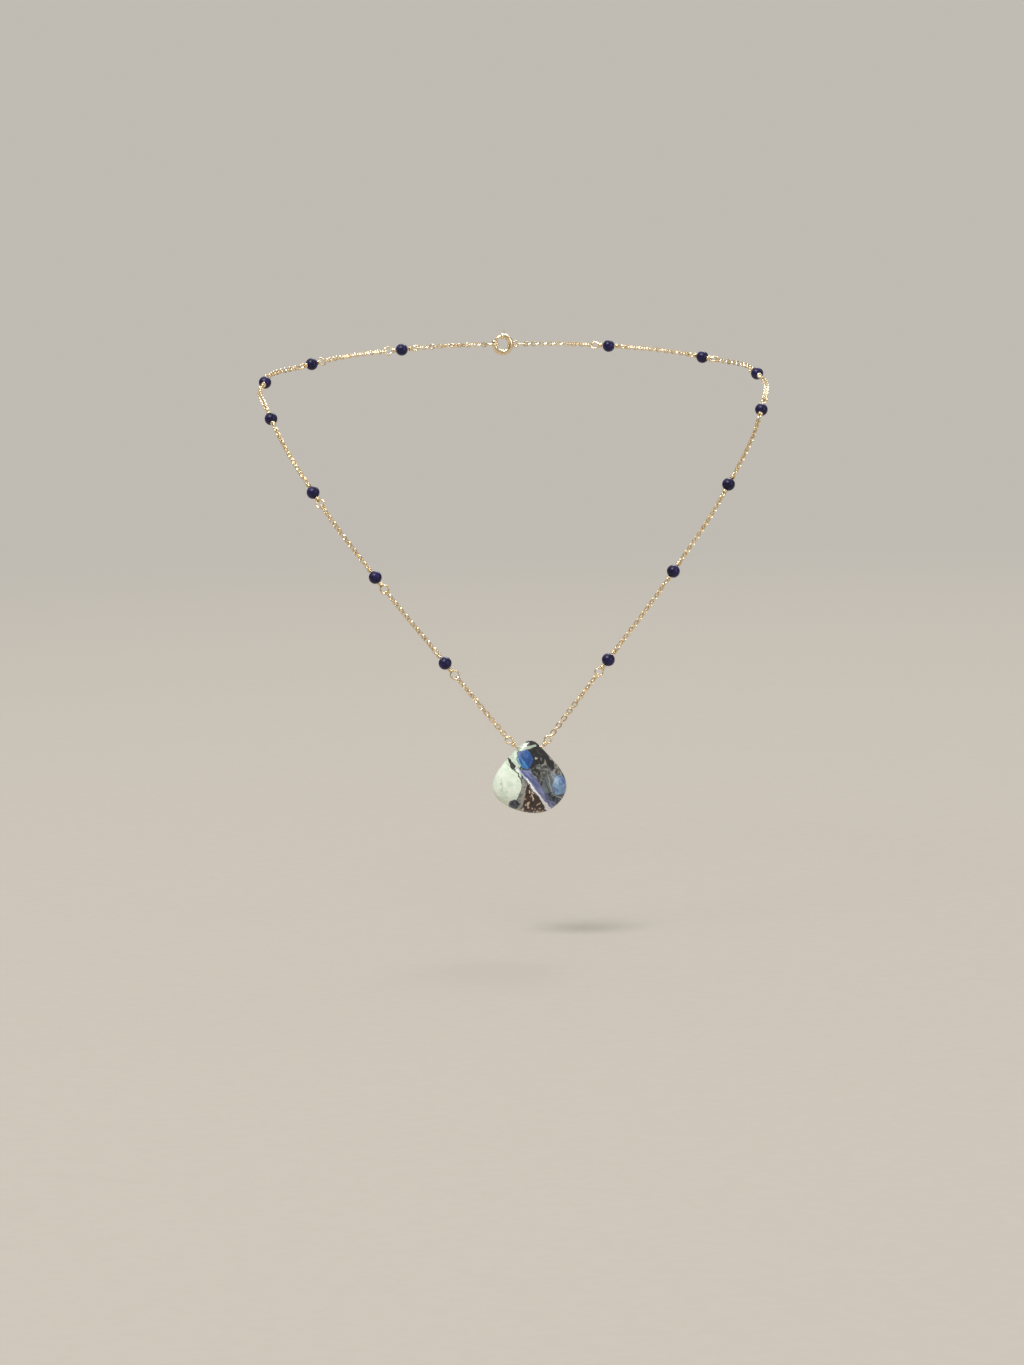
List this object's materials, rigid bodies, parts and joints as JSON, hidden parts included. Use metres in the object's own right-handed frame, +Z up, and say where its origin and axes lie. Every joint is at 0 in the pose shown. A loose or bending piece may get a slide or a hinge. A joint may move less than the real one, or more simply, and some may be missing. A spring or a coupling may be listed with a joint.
{
  "type": "pendant necklace",
  "caption": "Necklace of fine cable chain and dark round beads on eye pins, with a side-drilled mottled stone drop at the front and a spring-ring clasp at the nape",
  "frame": {"origin": "midway between the two points where the necklace passes over the shoulders", "axes": "+X to the wearer's left, across the shoulders; +Y from the chest to the nape; +Z up"},
  "size_m": [0.1214, 0.0952, 0.1098],
  "materials": {
    "gold": "polished, pale yellow gold",
    "bead_stone": "semi-polished, almost black blue",
    "drop_stone": "polished, mottled pale green, blue, black and brown"
  },
  "bodies": {
    "shoulder_pins": {"pin_left_5": "gold", "pin_right_5": "gold"},
    "chains_5": {"chain_left_5": "gold", "chain_right_5": "gold"},
    "pins_4": {"pin_left_4": "gold", "pin_right_4": "gold"},
    "chains_4": {"chain_left_4": "gold", "chain_right_4": "gold"},
    "pins_3": {"pin_left_3": "gold", "pin_right_3": "gold"},
    "chains_3": {"chain_left_3": "gold", "chain_right_3": "gold"},
    "pins_2": {"pin_left_2": "gold", "pin_right_2": "gold"},
    "chains_2": {"chain_left_2": "gold", "chain_right_2": "gold"},
    "pins_1": {"pin_left_1": "gold", "pin_right_1": "gold"},
    "chains_1": {"chain_left_1": "gold", "chain_right_1": "gold"},
    "pendant_wire": {"pendant_wire": "gold"},
    "pendant_stone": {"pendant_stone": "drop_stone"},
    "chains_6": {"chain_left_6": "gold", "chain_right_6": "gold"},
    "pins_6": {"pin_left_6": "gold", "pin_right_6": "gold"},
    "chains_7": {"chain_left_7": "gold", "chain_right_7": "gold"},
    "pins_7": {"pin_left_7": "gold", "pin_right_7": "gold"},
    "chains_8": {"chain_left_8": "gold", "chain_right_8": "gold"},
    "clasp_rings": {"end_ring": "gold", "jump_ring": "gold"},
    "clasp": {"clasp_ring": "gold", "clasp_spring": "gold"},
    "clasp_bolt": {"clasp_bolt": "gold"},
    "bead_left_1": {"bead_left_1": "bead_stone"},
    "bead_left_2": {"bead_left_2": "bead_stone"},
    "bead_left_3": {"bead_left_3": "bead_stone"},
    "bead_left_4": {"bead_left_4": "bead_stone"},
    "bead_left_5": {"bead_left_5": "bead_stone"},
    "bead_left_6": {"bead_left_6": "bead_stone"},
    "bead_left_7": {"bead_left_7": "bead_stone"},
    "bead_right_1": {"bead_right_1": "bead_stone"},
    "bead_right_2": {"bead_right_2": "bead_stone"},
    "bead_right_3": {"bead_right_3": "bead_stone"},
    "bead_right_4": {"bead_right_4": "bead_stone"},
    "bead_right_5": {"bead_right_5": "bead_stone"},
    "bead_right_6": {"bead_right_6": "bead_stone"},
    "bead_right_7": {"bead_right_7": "bead_stone"}
  },
  "joints": [
    {"name": "chains_5_swing", "type": "hinge", "parent": "shoulder_pins", "child": "chains_5", "pos_m": [0, -0.00382, -0.00093], "axis": [-1, 0, 0], "range_deg": [0, 25]},
    {"name": "pins_4_swing", "type": "hinge", "parent": "chains_5", "child": "pins_4", "pos_m": [0, -0.01953, -0.00575], "axis": [-1, 0, 0], "range_deg": [0, 25]},
    {"name": "chains_4_swing", "type": "hinge", "parent": "pins_4", "child": "chains_4", "pos_m": [0, -0.02705, -0.01019], "axis": [-1, 0, 0], "range_deg": [0, 25]},
    {"name": "pins_3_swing", "type": "hinge", "parent": "chains_4", "child": "pins_3", "pos_m": [0, -0.03727, -0.02139], "axis": [-1, 0, 0], "range_deg": [0, 25]},
    {"name": "chains_3_swing", "type": "hinge", "parent": "pins_3", "child": "chains_3", "pos_m": [0, -0.04168, -0.02797], "axis": [-1, 0, 0], "range_deg": [0, 25]},
    {"name": "pins_2_swing", "type": "hinge", "parent": "chains_3", "child": "pins_2", "pos_m": [0, -0.04713, -0.04051], "axis": [-1, 0, 0], "range_deg": [0, 25]},
    {"name": "chains_2_swing", "type": "hinge", "parent": "pins_2", "child": "chains_2", "pos_m": [0, -0.04921, -0.04749], "axis": [-1, 0, 0], "range_deg": [0, 25]},
    {"name": "pins_1_swing", "type": "hinge", "parent": "chains_2", "child": "pins_1", "pos_m": [0, -0.05124, -0.06026], "axis": [-1, 0, 0], "range_deg": [0, 25]},
    {"name": "chains_1_swing", "type": "hinge", "parent": "pins_1", "child": "chains_1", "pos_m": [0, -0.05217, -0.06726], "axis": [-1, 0, 0], "range_deg": [0, 25]},
    {"name": "pendant_wire_swing", "type": "hinge", "parent": "chains_1", "child": "pendant_wire", "pos_m": [0, -0.05359, -0.08099], "axis": [-1, 0, 0], "range_deg": [-45, 45]},
    {"name": "pendant_stone_swing", "type": "hinge", "parent": "pendant_wire", "child": "pendant_stone", "pos_m": [0, -0.05359, -0.08333], "axis": [-1, 0, 0], "range_deg": [-60, 60]},
    {"name": "chains_6_swing", "type": "hinge", "parent": "shoulder_pins", "child": "chains_6", "pos_m": [0, 0.0048, 0.00119], "axis": [1, 0, 0], "range_deg": [0, 25]},
    {"name": "pins_6_swing", "type": "hinge", "parent": "chains_6", "child": "pins_6", "pos_m": [0, 0.01945, 0.00335], "axis": [1, 0, 0], "range_deg": [0, 25]},
    {"name": "chains_7_swing", "type": "hinge", "parent": "pins_6", "child": "chains_7", "pos_m": [0, 0.02556, 0.00473], "axis": [1, 0, 0], "range_deg": [0, 25]},
    {"name": "pins_7_swing", "type": "hinge", "parent": "chains_7", "child": "pins_7", "pos_m": [0, 0.03245, 0.00674], "axis": [1, 0, 0], "range_deg": [0, 25]},
    {"name": "chains_8_swing", "type": "hinge", "parent": "pins_7", "child": "chains_8", "pos_m": [0, 0.03474, 0.00743], "axis": [1, 0, 0], "range_deg": [0, 25]},
    {"name": "clasp_rings_swing", "type": "hinge", "parent": "chains_8", "child": "clasp_rings", "pos_m": [0, 0.03623, 0.00794], "axis": [1, 0, 0], "range_deg": [0, 25]},
    {"name": "clasp_swing", "type": "hinge", "parent": "clasp_rings", "child": "clasp", "pos_m": [0, 0.03623, 0.00794], "axis": [1, 0, 0], "range_deg": [-30, 30]},
    {"name": "clasp_bolt_slide", "type": "hinge", "parent": "clasp", "child": "clasp_bolt", "pos_m": [-0.00057, 0.03623, 0.00794], "axis": [0, 1, 0], "range_deg": [0, 58], "stiffness_Nm_per_rad": 0.0005, "deforming": ["clasp_spring"]},
    {"name": "bead_left_1_spin", "type": "hinge", "parent": "pins_1", "child": "bead_left_1", "pos_m": [-0.01871, -0.0517, -0.06376], "axis": [-0.6184, 0.1031, 0.7791], "continuous": true},
    {"name": "bead_left_2_spin", "type": "hinge", "parent": "pins_2", "child": "bead_left_2", "pos_m": [-0.03423, -0.04817, -0.044], "axis": [-0.5865, 0.232, 0.776], "continuous": true},
    {"name": "bead_left_3_spin", "type": "hinge", "parent": "pins_3", "child": "bead_left_3", "pos_m": [-0.04807, -0.03947, -0.02468], "axis": [-0.4744, 0.4905, 0.7309], "continuous": true},
    {"name": "bead_left_4_spin", "type": "hinge", "parent": "pins_4", "child": "bead_left_4", "pos_m": [-0.05764, -0.02329, -0.00797], "axis": [-0.2337, 0.8375, 0.4938], "continuous": true},
    {"name": "bead_left_5_spin", "type": "hinge", "parent": "shoulder_pins", "child": "bead_left_5", "pos_m": [-0.05926, 0.00049, 0.00013], "axis": [0.1623, 0.9581, 0.236], "continuous": true},
    {"name": "bead_left_6_spin", "type": "hinge", "parent": "pins_6", "child": "bead_left_6", "pos_m": [-0.04812, 0.02251, 0.00404], "axis": [0.7175, 0.6794, 0.1535], "continuous": true},
    {"name": "bead_left_7_spin", "type": "hinge", "parent": "pins_7", "child": "bead_left_7", "pos_m": [-0.02576, 0.0336, 0.00708], "axis": [0.9639, 0.2549, 0.0768], "continuous": true},
    {"name": "bead_right_1_spin", "type": "hinge", "parent": "pins_1", "child": "bead_right_1", "pos_m": [0.01871, -0.0517, -0.06376], "axis": [0.6184, 0.1031, 0.7791], "continuous": true},
    {"name": "bead_right_2_spin", "type": "hinge", "parent": "pins_2", "child": "bead_right_2", "pos_m": [0.03423, -0.04817, -0.044], "axis": [0.5865, 0.232, 0.776], "continuous": true},
    {"name": "bead_right_3_spin", "type": "hinge", "parent": "pins_3", "child": "bead_right_3", "pos_m": [0.04807, -0.03947, -0.02468], "axis": [0.4744, 0.4905, 0.7309], "continuous": true},
    {"name": "bead_right_4_spin", "type": "hinge", "parent": "pins_4", "child": "bead_right_4", "pos_m": [0.05764, -0.02329, -0.00797], "axis": [0.2337, 0.8375, 0.4938], "continuous": true},
    {"name": "bead_right_5_spin", "type": "hinge", "parent": "shoulder_pins", "child": "bead_right_5", "pos_m": [0.05926, 0.00049, 0.00013], "axis": [-0.1623, 0.9581, 0.236], "continuous": true},
    {"name": "bead_right_6_spin", "type": "hinge", "parent": "pins_6", "child": "bead_right_6", "pos_m": [0.04812, 0.02251, 0.00404], "axis": [-0.7175, 0.6794, 0.1535], "continuous": true},
    {"name": "bead_right_7_spin", "type": "hinge", "parent": "pins_7", "child": "bead_right_7", "pos_m": [0.02576, 0.0336, 0.00708], "axis": [-0.9639, 0.2549, 0.0768], "continuous": true}
  ]
}
